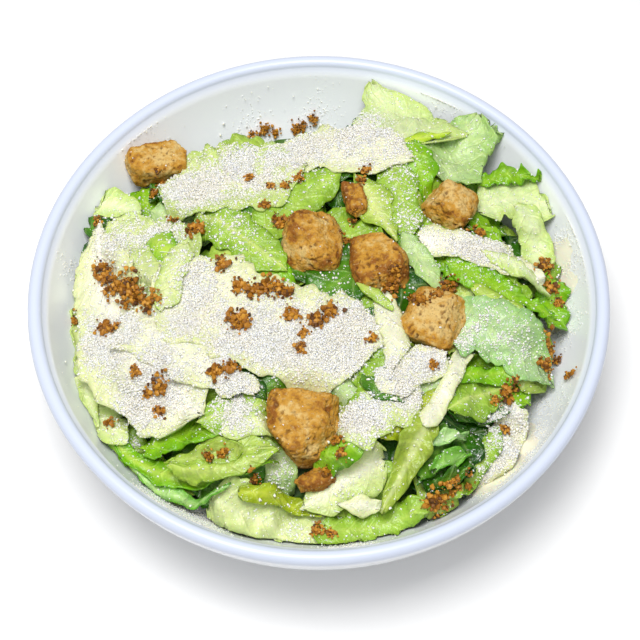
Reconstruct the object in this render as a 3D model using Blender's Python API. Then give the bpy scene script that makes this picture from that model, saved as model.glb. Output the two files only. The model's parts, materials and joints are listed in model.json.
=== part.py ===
"""Caesar salad in a round white bowl.

The bowl is a turned profile: a foot ring, a wall that curves up steeply, and a thick
rounded rim. The salad is one heap of torn romaine that fills the bowl to its wall and
rises a little above the rim in the middle. Its top follows the folded leaves that lie
on it. Toasted bread pieces are sunk into the heap, each as a body of its own.

Lengths are in millimetres and become metres where a mesh is made.
"""

import math

import bmesh
import bpy
from mathutils import Euler, Matrix, Vector, noise

MM = 0.001

# Bowl.
RIM_RADIUS = 100.0
RIM_WIDTH = 5.0
BOWL_HEIGHT = 52.0
FLOOR_HEIGHT = 8.0
FLOOR_RADIUS = 36.0
FOOT_OUTER = 45.0
FOOT_INNER = 40.0
FOOT_RECESS = 3.0
INNER_WALL = ((FLOOR_RADIUS, FLOOR_HEIGHT), (68.0, 8.0), (87.5, 25.0), (RIM_RADIUS - RIM_WIDTH, 52.0))
OUTER_WALL = ((RIM_RADIUS, 49.5), (96.5, 24.0), (78.0, 4.5), (FOOT_OUTER + 2.0, 3.5))
INNER_STEPS = 10
OUTER_STEPS = 6
RIM_STEPS = 4
BOWL_SEGMENTS = 60

# Heap of leaves: a low mound with hollows between the leaves that lie on it.
MOUND_EDGE = 31.0
MOUND_RISE = 26.0
MOUND_RADIUS = 86.0
MOUND_POWER = 0.85
HOLLOW_DEPTH = 5.5
LEAF_SHOULDER = 0.3
RUFFLE_HEIGHT = 1.3
RUFFLE_LENGTH = 11.0
SPINE_STEPS = 10
HEAP_RINGS = 20
HEAP_GAP = 0.6
EDGE_THICKNESS = 2.5
EDGE_STEP = 1.6
UNDERSIDE = ((120, 0.9), (72, 0.72), (48, 0.5), (24, 0.25))

# Bread pieces. The hollow that each lies in is cut with a block this much larger all round.
BREAD_GAP = 0.45
HOLLOW_SWELL = 0.8
LUMP_LENGTH = 9.0
PIT_LENGTH = 3.5

# Each leaf lies along a bend from its start through its middle to its end, with this
# half width. Its points are x, y and the height of its top above the table.
LEAVES = {
    "left_sheet": ((-72, 26, 37), (-62, -10, 46), (-46, -48, 44), 23),
    "centre_sheet": ((-50, -4, 50), (-8, -18, 59), (24, -24, 56), 20),
    "centre_roll": ((20, -4, 58), (25, -22, 57), (20, -40, 52), 5),
    "left_mid_sheet": ((-72, 30, 38), (-54, 22, 46), (-34, 2, 53), 11),
    "left_tip": ((-80, 41, 40), (-72, 40, 38), (-60, 33, 41), 6),
    "rib_chunk": ((-55, 18, 48), (-50, 11, 51), (-47, 3, 51), 5),
    "back_left_sheet": ((-58, 47, 40), (-32, 47, 47), (-8, 50, 49), 15),
    "back_sheet": ((-18, 60, 45), (8, 60, 48), (40, 56, 44), 9),
    "back_point": ((30, 60, 43), (21, 76, 42), (22, 90, 45), 12),
    "back_right_leaf": ((42, 46, 45), (50, 62, 46), (61, 72, 49), 10),
    "curl": ((60, 48, 41), (69, 51, 44), (78, 50, 47), 6),
    "right_heart": ((56, 36, 43), (70, 36, 44), (84, 31, 42), 10),
    "white_rib": ((33, 15, 54), (55, 11, 49), (78, 9, 40), 7),
    "pale_fold": ((33, 16, 54), (38, 7, 53), (46, -6, 51), 5),
    "ruffle_band": ((42, 7, 52), (60, -3, 47), (80, -14, 38), 7),
    "right_ruffle": ((76, 12, 40), (82, 3, 37), (84, -9, 35), 6),
    "mint_sheet": ((42, -22, 50), (61, -20, 46), (80, -30, 34), 11),
    "green_wedge": ((42, -50, 44), (55, -41, 43), (70, -34, 37), 7),
    "pale_ribbon": ((52, -28, 48), (38, -52, 48), (22, -78, 37), 7),
    "dark_ruffle": ((56, -50, 39), (46, -63, 39), (36, -75, 35), 10),
    "front_right_leaf": ((0, -84, 34), (18, -82, 34), (38, -74, 35), 6),
    "front_fan": ((28, -58, 43), (18, -70, 41), (6, -76, 38), 7),
    "front_strip": ((-28, -75, 37), (-15, -73, 41), (-2, -77, 38), 6),
    "front_left_pale": ((-34, -74, 36), (-18, -80, 35), (4, -83, 34), 8),
    "trough": ((-69, -50, 33), (-50, -70, 34), (-10, -65, 44), 6),
    "vivid_leaf": ((-62, -58, 35), (-46, -55, 42), (-30, -48, 47), 8),
    "boat": ((-50, -65, 37), (-32, -64, 42), (-9, -59, 47), 7),
    "mid_left_leaf": ((-40, -50, 45), (-27, -47, 49), (-13, -42, 52), 7),
    "white_heap": ((24, -42, 51), (31, -34, 53), (39, -27, 51), 8),
    "olive_strip": ((28, -57, 45), (37, -49, 46), (47, -39, 46), 6),
    "right_of_bread": ((6, -57, 48), (20, -51, 49), (35, -40, 49), 9),
    "light_green_left": ((-44, 36, 48), (-29, 20, 54), (-13, 5, 57), 9),
    "vivid_top": ((-15, 27, 55), (-3, 36, 54), (7, 44, 52), 7),
    "pale_strip_top": ((13, 44, 51), (22, 32, 53), (29, 17, 55), 6),
    "yellow_green_top": ((37, 61, 43), (34, 44, 48), (31, 29, 52), 7),
}

# Each bread piece: centre, size along its own axes, turn in degrees, how square it is
# (2 is round), how lumpy it is in millimetres, and the faces along each edge of its block.
BREAD = {
    "crouton_back_left": ((-59.0, 58.0, 41.0), (28, 17, 15), (6, 12, -6), 2.4, 1.4, 5),
    "crouton_centre_left": ((-2.6, 15.5, 53.5), (22, 24, 20), (4, -6, 4), 2.5, 2.0, 5),
    "crouton_centre_right": ((20.8, 8.0, 53.5), (21, 24, 19), (-6, 8, 8), 2.6, 2.2, 5),
    "crouton_right_back": ((46.0, 33.0, 48.5), (21.5, 20, 19), (8, 10, -6), 3.4, 1.6, 5),
    "crouton_right": ((38.5, -13.0, 50.0), (24, 22, 17), (-8, 6, 30), 2.9, 1.8, 5),
    "crouton_front": ((-4.5, -50.5, 48.0), (26, 27, 21), (10, 4, 15), 2.9, 2.6, 5),
    "crouton_heel": ((-1.5, -68.5, 42.5), (15, 9, 9), (0, 0, 10), 2.4, 1.6, 3),
    "shard_back": ((12.5, 34.5, 54.0), (8, 16, 8), (0, 0, 18), 2.5, 1.4, 3),
    "shard_boat": ((-31.5, -63.0, 43.0), (17, 8, 7), (0, -14, 10), 2.5, 1.2, 3),
}

# Principled settings: base colour, roughness and specular level.
CERAMIC = ((0.87, 0.89, 0.93, 1.0), 0.12, 0.5)
LETTUCE = ((0.42, 0.60, 0.16, 1.0), 0.45, 0.4)
TOAST = ((0.55, 0.33, 0.11, 1.0), 0.80, 0.25)


def clear_scene():
    for thing in list(bpy.data.objects):
        bpy.data.objects.remove(thing, do_unlink=True)


def finish_material(name, finish):
    colour, roughness, specular = finish
    material = bpy.data.materials.new(name)
    material.use_nodes = True
    shader = material.node_tree.nodes["Principled BSDF"]
    shader.inputs["Base Color"].default_value = colour
    shader.inputs["Roughness"].default_value = roughness
    shader.inputs["Metallic"].default_value = 0.0
    shader.inputs["Specular IOR Level"].default_value = specular
    return material


def add_object(name, mesh, material=None):
    thing = bpy.data.objects.new(name, mesh)
    bpy.context.scene.collection.objects.link(thing)
    if material:
        mesh.materials.append(material)
    return thing


def bezier(points, t):
    """A point of the curve that these control points draw, in two or three axes."""
    points = [Vector(point) for point in points]
    while len(points) > 1:
        points = [a.lerp(b, t) for a, b in zip(points, points[1:])]
    return points[0]


WALL = [bezier(INNER_WALL, step / 120) for step in range(121)]


SPINES = {
    name: [bezier(leaf[:3], step / SPINE_STEPS) for step in range(SPINE_STEPS + 1)]
    for name, leaf in LEAVES.items()
}


def wall_radius(height):
    """Radius of the bowl's inner wall at this height."""
    if height <= WALL[0].y:
        return WALL[0].x
    for low, high in zip(WALL, WALL[1:]):
        if height <= high.y:
            return low.x + (high.x - low.x) * (height - low.y) / (high.y - low.y)
    return WALL[-1].x


def wall_height(radius):
    """Height of the bowl's inside above the table at this radius."""
    for low, high in zip(WALL, WALL[1:]):
        if low.x <= radius < high.x:
            return low.y + (high.y - low.y) * (radius - low.x) / (high.x - low.x)
    return FLOOR_HEIGHT if radius < FLOOR_RADIUS else BOWL_HEIGHT


def bowl_profile():
    """Half section from the middle of the floor, over the rim, to the middle of the base."""
    points = [(0.0, FLOOR_HEIGHT)]
    points += [bezier(INNER_WALL, step / INNER_STEPS) for step in range(INNER_STEPS)]
    inner_top = RIM_RADIUS - RIM_WIDTH
    for step in range(1, RIM_STEPS):
        angle = math.pi * (1 - step / RIM_STEPS)
        across = RIM_RADIUS - RIM_WIDTH / 2 + RIM_WIDTH / 2 * math.cos(angle)
        points.append((across, BOWL_HEIGHT - RIM_WIDTH / 2 + RIM_WIDTH / 2 * math.sin(angle)))
    points.insert(-RIM_STEPS + 1, (inner_top, BOWL_HEIGHT - RIM_WIDTH / 2))
    points += [bezier(OUTER_WALL, step / OUTER_STEPS) for step in range(OUTER_STEPS + 1)]
    points += [(FOOT_OUTER, 0.0), (FOOT_INNER, 0.0), (FOOT_INNER - 1.0, FOOT_RECESS), (0.0, FOOT_RECESS)]
    return [(point[0] * MM, 0.0, point[1] * MM) for point in points]


def make_bowl():
    points = bowl_profile()
    mesh = bpy.data.meshes.new("bowl")
    mesh.from_pydata(points, [(i, i + 1) for i in range(len(points) - 1)], [])
    bowl = add_object("bowl", mesh, finish_material("glazed white ceramic", CERAMIC))
    turn = bowl.modifiers.new("Turn", "SCREW")
    turn.axis = "Z"
    turn.steps = BOWL_SEGMENTS
    turn.render_steps = BOWL_SEGMENTS
    turn.use_merge_vertices = True
    turn.merge_threshold = 0.00005
    return bowl


def smooth(value):
    value = min(max(value, 0.0), 1.0)
    return value * value * (3 - 2 * value)


def leaf_top(name, x, y, ground):
    """Height that this leaf gives the heap here, or the ground where the leaf isn't."""
    half_width = LEAVES[name][3]
    near, along = min((math.hypot(point.x - x, point.y - y), point.z) for point in SPINES[name])
    if near >= half_width:
        return ground
    shoulder = smooth((1 - near / half_width) / LEAF_SHOULDER)
    return ground + max(along - ground, 0.0) * shoulder


def heap_top(x, y):
    """Height of the heap above the table, before the bread is cut out of it."""
    radius = math.hypot(x, y)
    rise = max(1 - (radius / MOUND_RADIUS) ** 2, 0.0) ** MOUND_POWER
    ground = MOUND_EDGE + MOUND_RISE * rise - HOLLOW_DEPTH * min(1.0, rise * 5)
    top = max(leaf_top(name, x, y, ground) for name in LEAVES)
    ruffle = noise.noise(Vector((x, y, 0.0)) / RUFFLE_LENGTH)
    return top + RUFFLE_HEIGHT * ruffle


def heap_edge(angle):
    """Radius at which the heap thins out against the wall, less the gap to the wall."""
    radius = MOUND_RADIUS - 8
    while radius < RIM_RADIUS - RIM_WIDTH - 1:
        top = heap_top(radius * math.cos(angle), radius * math.sin(angle))
        if top <= wall_height(radius) + EDGE_THICKNESS:
            break
        radius += 0.25
    return radius - HEAP_GAP


def even_edge(radii):
    """The same radii with no step from one to the next over EDGE_STEP."""
    for _ in radii:
        radii = [
            min(here, radii[i - 1] + EDGE_STEP, radii[(i + 1) % len(radii)] + EDGE_STEP)
            for i, here in enumerate(radii)
        ]
    return radii


def stitch(bm, outer, inner):
    """Faces between two closed rings, or a ring and one point, each going round once."""
    i = j = 0
    while i < len(outer) or j < len(inner):
        ahead_outer = (i + 1) / len(outer) if i < len(outer) else 2
        ahead_inner = (j + 1) / len(inner) if j < len(inner) and len(inner) > 1 else 2
        if ahead_outer == ahead_inner == 2:
            break
        a, b = outer[i % len(outer)], inner[j % len(inner)]
        if ahead_outer <= ahead_inner:
            i += 1
            bm.faces.new((a, outer[i % len(outer)], b))
        else:
            j += 1
            bm.faces.new((a, inner[j % len(inner)], b))


def heap_mesh():
    """Rings of the top from the wall to the middle, then the underside down the wall."""
    bm = bmesh.new()
    top = []
    for ring in range(HEAP_RINGS, 0, -1):
        count = 6 * ring
        points = []
        for step in range(count):
            angle = 2 * math.pi * step / count
            radius = EDGE[round(step * 6 * HEAP_RINGS / count) % len(EDGE)] * ring / HEAP_RINGS
            x, y = radius * math.cos(angle), radius * math.sin(angle)
            height = wall_height(radius + HEAP_GAP) if ring == HEAP_RINGS else heap_top(x, y)
            points.append(bm.verts.new((x * MM, y * MM, height * MM)))
        top.append(points)
    top.append([bm.verts.new((0.0, 0.0, heap_top(0.0, 0.0) * MM))])
    under = [top[0]]
    for count, part in UNDERSIDE:
        points = []
        for step in range(count):
            angle = 2 * math.pi * step / count
            edge = EDGE[round(step * len(EDGE) / count) % len(EDGE)]
            radius = FLOOR_RADIUS + (edge - FLOOR_RADIUS) * part
            height = wall_height(radius + HEAP_GAP) + HEAP_GAP
            points.append(bm.verts.new((radius * math.cos(angle) * MM, radius * math.sin(angle) * MM, height * MM)))
        under.append(points)
    under.append([bm.verts.new((0.0, 0.0, (FLOOR_HEIGHT + HEAP_GAP) * MM))])
    for rings in (top, under):
        for outer, inner in zip(rings, rings[1:]):
            stitch(bm, outer, inner)
    bmesh.ops.recalc_face_normals(bm, faces=bm.faces[:])
    mesh = bpy.data.meshes.new("lettuce_heap")
    bm.to_mesh(mesh)
    bm.free()
    return mesh


def bread_mesh(name, size, turn, centre, square, lump, faces, swell):
    """A block rounded towards an ellipsoid, with lumps and pits, kept off the bowl's wall."""
    bm = bmesh.new()
    bmesh.ops.create_cube(bm, size=2.0)
    bmesh.ops.subdivide_edges(bm, edges=bm.edges[:], cuts=faces - 1, use_grid_fill=True)
    place = Matrix.Translation(Vector(centre)) @ turn.to_matrix().to_4x4()
    offset = Vector(centre) * 0.37
    for vert in bm.verts:
        direction = vert.co.normalized()
        reach = sum(abs(part) ** square for part in direction) ** (-1 / square)
        point = Vector([direction[i] * reach * size[i] / 2 for i in range(3)])
        lumps = noise.noise(point / LUMP_LENGTH + offset) + 0.5 * noise.noise(point / PIT_LENGTH + offset)
        point += direction * (lump * lumps + swell)
        world = place @ point
        limit = wall_radius(world.z - BREAD_GAP) - BREAD_GAP + swell
        radius = math.hypot(world.x, world.y)
        if radius > limit:
            world.x *= limit / radius
            world.y *= limit / radius
        vert.co = (place.inverted() @ world) * MM
    bmesh.ops.triangulate(bm, faces=bm.faces[:])
    mesh = bpy.data.meshes.new(name)
    bm.to_mesh(mesh)
    bm.free()
    return mesh


def make_bread(name, piece, material):
    """One bread piece and the slightly larger cutter that makes its hollow in the heap."""
    centre, size, degrees, square, lump, faces = piece
    turn = Euler([math.radians(angle) for angle in degrees])
    made = []
    for label, swell in ((name, 0.0), (name + "_hollow", HOLLOW_SWELL)):
        mesh = bread_mesh(label, size, turn, centre, square, lump, faces, swell)
        thing = add_object(label, mesh, material)
        thing.location = Vector(centre) * MM
        thing.rotation_euler = turn
        made.append(thing)
    hollow = made[1]
    hollow.hide_render = True
    hollow.display_type = "WIRE"
    return hollow


def make_heap():
    return add_object("lettuce_heap", heap_mesh(), finish_material("romaine lettuce", LETTUCE))


def main():
    clear_scene()
    make_bowl()
    heap = make_heap()
    toast = finish_material("toasted bread", TOAST)
    hollows = bpy.data.collections.new("hollows")
    for name, piece in BREAD.items():
        hollows.objects.link(make_bread(name, piece, toast))
    cut = heap.modifiers.new("Hollows", "BOOLEAN")
    cut.operation = "DIFFERENCE"
    cut.solver = "EXACT"
    cut.operand_type = "COLLECTION"
    cut.collection = hollows
    cut.use_self = True


EDGE = even_edge([heap_edge(2 * math.pi * step / (6 * HEAP_RINGS)) for step in range(6 * HEAP_RINGS)])

main()
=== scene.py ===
"""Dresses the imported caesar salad: a glazed bowl, torn romaine, toasted croutons, grated
cheese and toasted crumbs. Lengths in the tables are millimetres, and MM turns them to metres."""

import json
import math
import random

import bpy
import numpy as np
from mathutils import Euler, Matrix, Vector, noise
from mathutils.bvhtree import BVHTree

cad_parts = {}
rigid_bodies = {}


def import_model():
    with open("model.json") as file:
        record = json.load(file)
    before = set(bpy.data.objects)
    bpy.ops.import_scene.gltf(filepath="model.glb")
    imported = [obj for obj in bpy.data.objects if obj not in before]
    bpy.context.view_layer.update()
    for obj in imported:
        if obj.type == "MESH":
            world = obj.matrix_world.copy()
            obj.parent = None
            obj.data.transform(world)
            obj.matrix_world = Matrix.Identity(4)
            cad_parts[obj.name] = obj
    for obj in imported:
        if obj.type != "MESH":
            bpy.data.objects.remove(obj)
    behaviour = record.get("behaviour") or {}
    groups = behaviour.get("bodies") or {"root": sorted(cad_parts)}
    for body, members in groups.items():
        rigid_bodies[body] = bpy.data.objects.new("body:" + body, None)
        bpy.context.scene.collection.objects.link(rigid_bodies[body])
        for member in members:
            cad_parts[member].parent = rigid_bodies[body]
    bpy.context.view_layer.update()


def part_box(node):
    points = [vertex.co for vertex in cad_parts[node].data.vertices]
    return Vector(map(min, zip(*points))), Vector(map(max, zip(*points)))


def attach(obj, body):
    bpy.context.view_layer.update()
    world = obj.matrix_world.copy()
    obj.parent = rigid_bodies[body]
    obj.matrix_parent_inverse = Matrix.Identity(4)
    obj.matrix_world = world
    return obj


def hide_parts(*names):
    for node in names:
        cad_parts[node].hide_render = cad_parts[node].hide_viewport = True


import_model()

bl_info = {
    "name": "Caesar Salad",
    "version": (1, 0, 0),
    "blender": (4, 5, 0),
    "location": "View3D > Sidebar > Salad",
    "description": "Dresses a caesar salad in its white bowl",
    "category": "Add Mesh",
}

MM = 0.001

# The bowl, as the frame gives it.
BOWL_LOW, BOWL_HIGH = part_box("bowl")
RIM_RADIUS = BOWL_HIGH.x / MM
BOWL_HEIGHT = BOWL_HIGH.z / MM
RIM_WIDTH = 5.0
FLOOR_HEIGHT = 8.0
FLOOR_RADIUS = 36.0
FOOT_OUTER = 45.0
FOOT_INNER = 40.0
FOOT_RECESS = 3.0
FOOT_EDGE = 0.5
FOOT_EDGE_HEIGHT = 0.4
INNER_WALL = ((FLOOR_RADIUS, FLOOR_HEIGHT), (68.0, 8.0), (87.5, 25.0), (RIM_RADIUS - RIM_WIDTH, 52.0))
OUTER_WALL = ((RIM_RADIUS, 49.5), (96.5, 24.0), (78.0, 4.5), (FOOT_OUTER + 2.0, 3.5))

# How many steps draw the bowl's inside, the round of its rim and its outside.
INSIDE_STEPS = 26
RIM_STEPS = 9
OUTSIDE_STEPS = 18
WALL_SAMPLES = 200

CROUTONS = (
    "crouton_back_left",
    "crouton_centre_left",
    "crouton_centre_right",
    "crouton_right_back",
    "crouton_right",
    "crouton_front",
    "crouton_heel",
    "shard_back",
    "shard_boat",
)

# The heap: a low mound inside the bowl.
MOUND_EDGE = 31.0
MOUND_RISE = 26.0
MOUND_RADIUS = 86.0
MOUND_POWER = 0.85

# The pressed leaves inside it: how far from its edge and below its top they stay.
CORE_MARGIN = 7.0
CORE_DEPTH = 8.5
CORE_LUMPS = 2.5


def linear(hex_colour):
    """Linear red, green and blue of an sRGB hex colour."""
    channels = [int(hex_colour[i : i + 2], 16) / 255 for i in (0, 2, 4)]
    return tuple(c / 12.92 if c <= 0.04045 else ((c + 0.055) / 1.055) ** 2.4 for c in channels)


def paint(name, hex_colour, description):
    """A colour property, with its default as an sRGB hex value."""
    return bpy.props.FloatVectorProperty(
        name=name, description=description, default=linear(hex_colour), subtype="COLOR", min=0, max=1
    )


def length(name, millimetres, description):
    """A length property in metres, with its default in millimetres."""
    return bpy.props.FloatProperty(
        name=name, description=description, default=millimetres * MM, unit="LENGTH", subtype="DISTANCE"
    )


def number_of(name, number, description):
    """A property that counts things."""
    return bpy.props.IntProperty(name=name, description=description, default=number, min=1)


class BowlSettings(bpy.types.PropertyGroup):
    segments: number_of("Segments", 160, "Faces round the bowl")
    glaze: paint("Glaze", "F8FBFF", "White glaze of the inside and outside")
    rim_glaze: paint("Rim glaze", "D0D8EA", "Cooler white of the rim, where the glaze is thickest")


class LeafSettings(bpy.types.PropertyGroup):
    step: length("Mesh step", 1.15, "Distance between the points of a leaf's mesh")
    thickness: length("Thickness", 0.5, "Thickness of a romaine blade")
    fillers: number_of("Fillers", 110, "Small leaves under the large ones")
    # The core's dark green is painted shade for the depth of the heap.
    core: paint("Core", "2E4A12", "Wet dark leaves deep in the heap")


class CheeseSettings(bpy.types.PropertyGroup):
    powder: number_of("Powder", 40000, "Finest flecks of cheese")
    grains: number_of("Grains", 18000, "Grains of cheese of each of three sizes")
    shreds: number_of("Shreds", 2200, "Short curled shreds of cheese")
    colour: paint("Cheese", "FFFDF0", "Dry grated hard cheese")


class ToastSettings(bpy.types.PropertyGroup):
    crust: paint("Crust", "C08C2C", "Golden face of a toasted cube")
    pale: paint("Pale crumb", "D4B470", "Crumb that the oven left pale")
    # This brown colours the edges; the dark of the pores is a painted shade of its own, in the toast
    # material.
    brown: paint("Browned", "8C5410", "Browned edges and the rims of the pores")


class StageSettings(bpy.types.PropertyGroup):
    elevation: bpy.props.FloatProperty(
        name="Elevation",
        description="Camera above the horizon",
        default=math.radians(61.5),
        subtype="ANGLE",
    )
    distance: length("Distance", 533.0, "Camera to the middle of the rim")
    aim_forward: length("Aim", -13.4, "How far in front of the bowl's axis the camera aims")
    lens: bpy.props.FloatProperty(name="Lens", description="Focal length in millimetres", default=88.4)
    floor: paint("Floor", "F2F2F2", "Plain pale tabletop")


# ---------------------------------------------------------------- shapes


def bezier(points, t):
    """A point of the curve that these control points draw."""
    points = [Vector(point) for point in points]
    while len(points) > 1:
        points = [a.lerp(b, t) for a, b in zip(points, points[1:])]
    return points[0]


WALL = np.array([bezier(INNER_WALL, step / WALL_SAMPLES) for step in range(WALL_SAMPLES + 1)])


def wall_radius(height):
    """Radius of the bowl's inner wall at these heights, in millimetres."""
    return np.interp(height, WALL[:, 1], WALL[:, 0])


def wall_height(radius):
    """Height of the bowl's inside at these radii, in millimetres."""
    return np.interp(radius, WALL[:, 0], WALL[:, 1])


def mound_height(radius):
    """Height of the even mound that the leaves lie on."""
    return MOUND_EDGE + MOUND_RISE * np.clip(1 - (radius / MOUND_RADIUS) ** 2, 0, 1) ** MOUND_POWER


def smooth(value):
    """Eases a value between 0 and 1, so that it starts and ends level."""
    value = np.clip(value, 0, 1)
    return value * value * (3 - 2 * value)


def field(points, scale, seed):
    """Smooth noise between -1 and 1 at each point, with bumps of about this size in millimetres."""
    shift = Vector((seed * 17.3, seed * 5.1, seed * 9.7))
    return np.array([noise.noise(Vector(point) / scale + shift) for point in points])


# ---------------------------------------------------------------- mesh helpers


def deselect():
    """Leaves edit mode and selects nothing."""
    if bpy.context.object and bpy.context.object.mode != "OBJECT":
        bpy.ops.object.mode_set(mode="OBJECT")
    bpy.ops.object.select_all(action="DESELECT")


def pick(*things):
    """Selects these objects alone, the first of them active."""
    deselect()
    for thing in things:
        thing.select_set(True)
    bpy.context.view_layer.objects.active = things[0]


def apply_modifier(thing, kind, **settings):
    """Adds a modifier with these settings and applies it."""
    modifier = thing.modifiers.new(kind.title(), kind)
    for name, value in settings.items():
        setattr(modifier, name, value)
    pick(thing)
    bpy.ops.object.modifier_apply(modifier=modifier.name)


def join(name, things):
    """Joins these objects into one piece of this name."""
    pick(*things)
    if len(things) > 1:
        bpy.ops.object.join()
    piece = bpy.context.object
    piece.name = name
    piece.data.name = name
    return piece


def mesh_piece(name, points, faces):
    """A piece from arrays of points in metres and of faces with as many corners each."""
    mesh = bpy.data.meshes.new(name)
    corners = faces.shape[1]
    mesh.vertices.add(len(points))
    mesh.vertices.foreach_set("co", np.ascontiguousarray(points, np.float32).ravel())
    mesh.loops.add(faces.size)
    mesh.loops.foreach_set("vertex_index", np.ascontiguousarray(faces, np.int32).ravel())
    mesh.polygons.add(len(faces))
    mesh.polygons.foreach_set("loop_start", np.arange(0, faces.size, corners, dtype=np.int32))
    mesh.update(calc_edges=True)
    piece = bpy.data.objects.new(name, mesh)
    bpy.context.scene.collection.objects.link(piece)
    return piece


def set_values(piece, name, values):
    """Stores one number or one colour for each point of a piece."""
    colour = values.ndim == 2
    layer = piece.data.attributes.new(name, "FLOAT_COLOR" if colour else "FLOAT", "POINT")
    if colour:
        values = np.column_stack([values, np.ones(len(values))])
    layer.data.foreach_set("color" if colour else "value", np.ascontiguousarray(values, np.float32).ravel())


def get_points(piece):
    """A piece's points in metres, as an array."""
    points = np.empty(len(piece.data.vertices) * 3, np.float32)
    piece.data.vertices.foreach_get("co", points)
    return points.reshape(-1, 3).astype(float)


def set_points(piece, points):
    """Moves a piece's points to these places in metres."""
    piece.data.vertices.foreach_set("co", np.ascontiguousarray(points, np.float32).ravel())
    piece.data.update()


def shade(piece, material, smooth_shading=True):
    """Gives a piece its material and its slot, and makes it ride on the one body."""
    piece.data.materials.clear()
    piece.data.materials.append(material)
    piece.data.polygons.foreach_set("material_index", np.zeros(len(piece.data.polygons), np.int32))
    piece.data.polygons.foreach_set("use_smooth", np.full(len(piece.data.polygons), smooth_shading))
    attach(piece, "root")


def surface_of(pieces):
    """A search tree of the faces of these pieces, in millimetres."""
    points, faces, start = [], [], 0
    for piece in pieces:
        mesh = piece.data
        mesh.calc_loop_triangles()
        corners = np.empty(len(mesh.loop_triangles) * 3, np.int32)
        mesh.loop_triangles.foreach_get("vertices", corners)
        own = get_points(piece) / MM
        points.append(own)
        faces.append(corners.reshape(-1, 3) + start)
        start += len(own)
    return BVHTree.FromPolygons(np.vstack(points).tolist(), np.vstack(faces).tolist())


# ---------------------------------------------------------------- material helpers


def node(tree, kind, links=None, **settings):
    """Adds a node with its settings, and links or values for its inputs."""
    made = tree.nodes.new(kind)
    for name, value in settings.items():
        setattr(made, name, value)
    for key, value in (links or {}).items():
        if isinstance(value, bpy.types.NodeSocket):
            tree.links.new(value, made.inputs[key])
        else:
            made.inputs[key].default_value = value
    return made


def new_material(name, **sockets):
    """A Principled material with these values on the shader's own sockets."""
    material = bpy.data.materials.new(name)
    material.use_nodes = True
    shader = material.node_tree.nodes["Principled BSDF"]
    for key, value in sockets.items():
        shader.inputs[key.replace("_", " ")].default_value = value
    return material, material.node_tree, shader


def math_node(tree, operation, first, second=0.0, third=0.0):
    """The outcome of one operation on links or values."""
    return node(tree, "ShaderNodeMath", {0: first, 1: second, 2: third}, operation=operation).outputs[0]


def add(tree, first, second):
    """The sum of two links or values."""
    return math_node(tree, "ADD", first, second)


def times(tree, first, second):
    """The product of two links or values."""
    return math_node(tree, "MULTIPLY", first, second)


def blend(tree, factor, first, second, mode="MIX"):
    """A mix of two colours."""
    made = node(tree, "ShaderNodeMix", data_type="RGBA", blend_type=mode)
    for key, value in ((0, factor), (6, first), (7, second)):
        if isinstance(value, bpy.types.NodeSocket):
            tree.links.new(value, made.inputs[key])
        else:
            made.inputs[key].default_value = value
    return made.outputs[2]


def ramp(tree, factor, low, high):
    """0 below low and 1 above high, smooth between."""
    return node(
        tree,
        "ShaderNodeMapRange",
        {"Value": factor, "From Min": low, "From Max": high},
        interpolation_type="SMOOTHSTEP",
    ).outputs[0]


def grit(tree, size, detail=2.0):
    """Noise on Object coordinates, with bumps of this size in millimetres."""
    place = node(tree, "ShaderNodeTexCoord").outputs["Object"]
    return node(
        tree, "ShaderNodeTexNoise", {"Vector": place, "Scale": 1 / (size * MM), "Detail": detail}
    ).outputs[0]


def bump(tree, shader, height, depth, strength=1.0):
    """Bump of this depth in millimetres."""
    made = node(tree, "ShaderNodeBump", {"Height": height, "Distance": depth * MM, "Strength": strength})
    tree.links.new(made.outputs[0], shader.inputs["Normal"])


def rgba(colour):
    """The colour with full opacity."""
    return (*colour, 1.0)


# ---------------------------------------------------------------- bowl


def glaze_material(settings):
    """Glazed stoneware: a clear glass-like coat over white clay, so it is glossy with soft
    broad highlights, and a little cooler at the rim."""
    material, tree, shader = new_material(
        "glazed stoneware", Roughness=0.26, IOR=1.5, Specular_IOR_Level=0.3
    )
    place = node(tree, "ShaderNodeTexCoord").outputs["Object"]
    height = node(tree, "ShaderNodeSeparateXYZ", {0: place}).outputs[2]
    rim = ramp(tree, height, (BOWL_HEIGHT - 6) * MM, (BOWL_HEIGHT - 0.5) * MM)
    colour = blend(tree, rim, rgba(settings.glaze), rgba(settings.rim_glaze))
    tree.links.new(colour, shader.inputs["Base Color"])
    bump(tree, shader, grit(tree, 18), 0.25, 0.25)
    return material


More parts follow.
